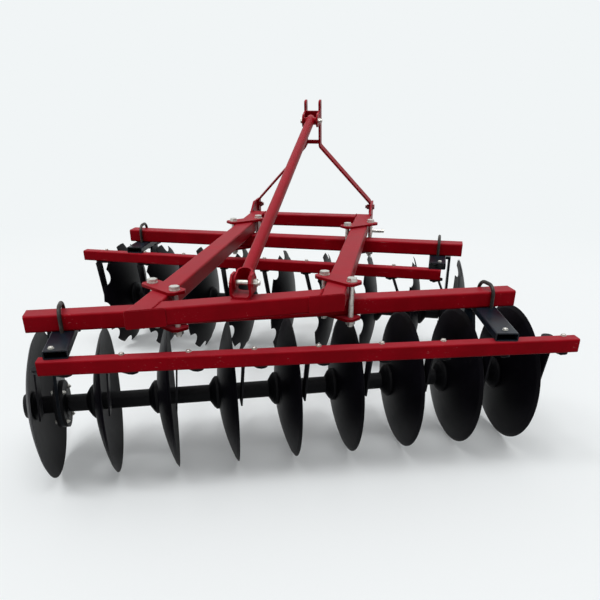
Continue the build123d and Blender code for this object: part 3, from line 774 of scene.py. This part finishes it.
def makeWelds():
    lines = []
    up = Vector((0, 0, 1))
    across = Vector((0, 1, 0))
    barLow, barHigh = map(Vector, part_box("front_crossbar"))
    middle, tall = (barLow + barHigh) / 2, barHigh.z - barLow.z
    turn = math.radians(weld["rearTurn"])
    along = Vector((math.cos(turn), math.sin(turn), 0))
    for side in (-1, 1):
        # front crossbar, rear crossbar, end cap
        seat = Vector((side * weld["inner"], middle.y, middle.z))
        lines.append(loop(seat, across, up, weld["tubeWidth"], tall, weld["corner"]))
        deep = weld["tubeWidth"] / math.cos(turn)
        rear = weld["rearY"] + side * weld["inner"] * math.tan(turn) + deep / 2
        seat = Vector((side * weld["inner"], rear, middle.z))
        lines.append(loop(seat, across, up, deep, tall, weld["corner"]))
        capMiddle = side * (weld["half"] / math.cos(turn) - weld["capWidth"] / 2)
        seat = Vector((0, weld["rearY"], middle.z)) + along * capMiddle
        width = weld["capWidth"] - weld["capInset"]
        lines.append(loop(seat, along, up, width, weld["capHeight"], weld["capCorner"]))
        # hitch plate, on both its sides
        for x in (side * weld["half"], side * (weld["half"] - weld["plate"])):
            heel = Vector((x, weld["plateHeel"], barHigh.z))
            throat = Vector((x, weld["frontY"], barHigh.z))
            lines.append([heel, throat])
            if abs(x) < weld["half"]:
                lines.append([throat, Vector((x, weld["frontY"], barLow.z))])
    clevisLow, clevisHigh = map(Vector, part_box("strut_clevis"))
    for y in (clevisLow.y, clevisHigh.y):
        if y < weld["clevisFront"]:
            ends = (clevisLow.x + weld["clevisEnd"], clevisHigh.x - weld["clevisEnd"])
            lines.append([Vector((x, y, clevisLow.z)) for x in ends])
    for x in (clevisLow.x + weld["clevisSide"], clevisHigh.x - weld["clevisSide"]):
        ends = (clevisLow.y, weld["clevisFront"])
        lines.append([Vector((x, y, clevisLow.z)) for y in ends])
    spacerLow, spacerHigh = map(Vector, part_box("mast_spacer"))
    spacer = (spacerLow + spacerHigh) / 2
    for x in (spacerLow.x, spacerHigh.x):
        centre = Vector((x, spacer.y, spacer.z))
        angles = [math.radians(step * 20) for step in range(19)]
        ring = [Vector((0, math.cos(angle), math.sin(angle))) for angle in angles]
        lines.append([centre + spoke * weld["spacer"] for spoke in ring])
    points, edges = [], []
    for line in lines:
        first = len(points)
        points += line
        edges += [(first + n, first + n + 1) for n in range(len(line) - 1)]
    grow("frame_welds", "weld", (points, edges, {}), weld["sizes"], "red_paint")


def makeHangerWelds():
    points, edges = [], []
    for name, gang in gangs.items():
        for solid in solids(f"{name}_hangers"):
            local = [gang.local(point) for point in solid]
            height = max(point.z for point in local)
            top = [point for point in local if point.z > height - weld["hangerTop"]]
            low, high = boxOf(top)
            ends = (low.x + weld["hangerInset"], high.x - weld["hangerInset"])
            for y in (low.y, high.y):
                first = len(points)
                points += [gang(x, y, height) for x in ends]
                edges.append((first, first + 1))
    grow("hanger_welds", "weld", (points, edges, {}), weld["sizes"], "arm_black")


makeWelds()
makeHangerWelds()


# Floor, light and camera
studio = {
    "backdrop": (0.880, 0.913, 0.922),
    "floor": (0.865, 0.892, 0.9),
    "floorBounce": 0.3,
    "floorGlow": 0.2,
    "fade": (2.6, 5.2),
    "reach": (40.0, 60.0),
    "ambient": 0.16,
    # energy, angle and turn: a broad sky, and a long softbox in line with the gangs
    "lamps": {
        "sky": (1.3, 100.0, (-2.0, -4.0, 0.0)),
        "softboxFarLeft": (0.3, 14.0, (16.7, -40.0, 0.0)),
        "softboxLeft": (0.38, 12.0, (16.7, -24.0, 0.0)),
        "softboxMiddle": (0.4, 12.0, (16.7, -8.0, 0.0)),
        "softboxRight": (0.34, 12.0, (16.7, 8.0, 0.0)),
        "softboxFarRight": (0.28, 14.0, (16.7, 24.0, 0.0)),
    },
}


def seenRays(graph):
    # rays that show the background: camera, glossy and transmission
    path = graph.node("ShaderNodeLightPath", {}, {}, "Is Camera Ray")
    rays = path.socket.node.outputs
    seen = path.maths("MAXIMUM", Wire(graph, rays["Is Glossy Ray"]))
    return seen.maths("MAXIMUM", Wire(graph, rays["Is Transmission Ray"]))


def makeFloor():
    mesh = bpy.data.meshes.new("floor")
    near, far = studio["reach"]
    corners = [(-near, -near, 0), (near, -near, 0), (near, far, 0), (-near, far, 0)]
    mesh.from_pydata(corners, [], [(0, 1, 2, 3)])
    floor = bpy.data.objects.new("floor", mesh)
    bpy.context.collection.objects.link(floor)
    shading = Shading("pale floor")
    faint = shading.noise(1.5, 2.0)
    bright = shading.mix(faint, studio["floor"], tuple(c * 0.995 for c in studio["floor"]))
    dim = tuple(c * studio["floorBounce"] for c in studio["floor"])
    cover = shading.mix(seenRays(shading), dim, bright)
    lit = shading.node("ShaderNodeBsdfDiffuse", {}, {"Color": cover})
    even = shading.node("ShaderNodeEmission", {}, {"Color": (*studio["backdrop"], 1.0)})
    away = shading.node("ShaderNodeVectorMath", {"operation": "LENGTH"}, {0: shading.place}, "Value")
    glow = seenRays(shading) * studio["floorGlow"]
    values = {0: away.step(*studio["fade"]).maths("MAXIMUM", glow), 1: lit, 2: even}
    floor.data.materials.append(shading.ended(shading.node("ShaderNodeMixShader", {}, values)))


def makeLights():
    world = bpy.data.worlds.new("studio")
    bpy.context.scene.world = world
    world.use_nodes = True
    graph = Graph(world.node_tree)
    light = {"Color": (1.0, 1.0, 1.0, 1.0), "Strength": studio["ambient"]}
    ground = graph.node("ShaderNodeBackground", {}, light)
    seen = graph.node("ShaderNodeBackground", {}, {"Color": (*studio["backdrop"], 1.0)})
    mixer = graph.node("ShaderNodeMixShader", {}, {0: seenRays(graph), 1: ground, 2: seen})
    out = graph.tree.nodes.new("ShaderNodeOutputWorld")
    graph.tree.links.new(mixer.socket, out.inputs["Surface"])

    for name, (energy, angle, turns) in studio["lamps"].items():
        lamp = bpy.data.lights.new(name, "SUN")
        lamp.energy = energy
        lamp.angle = math.radians(angle)
        sun = bpy.data.objects.new(name, lamp)
        sun.rotation_euler = [math.radians(turn) for turn in turns]
        bpy.context.collection.objects.link(sun)


# place and angles solved from the beams, discs and mast in the photograph
view = {
    "sensor": 36.0,
    "focalPixels": 629.34,
    "widthPixels": 600.0,
    "shift": 0.22567,
    "place": (0.51378, -2.76315, 1.34763),
    "turn": 8.98,
    "down": 29.21,
    "roll": 0.08,
}


def makeCamera():
    data = bpy.data.cameras.new("camera")
    data.sensor_width = view["sensor"]
    data.lens = view["sensor"] * view["focalPixels"] / view["widthPixels"]
    data.shift_y = view["shift"]
    camera = bpy.data.objects.new("camera", data)
    camera.location = view["place"]
    turn = Matrix.Rotation(math.radians(view["turn"]), 3, "Z")
    tilt = Matrix.Rotation(math.radians(90.0 - view["down"]), 3, "X")
    roll = Matrix.Rotation(math.radians(view["roll"]), 3, "Z")
    camera.rotation_euler = (turn @ tilt @ roll).to_euler()
    bpy.context.collection.objects.link(camera)
    bpy.context.scene.camera = camera


makeFloor()
makeLights()
makeCamera()
bpy.context.scene.view_settings.view_transform = "Standard"
print("stage set")
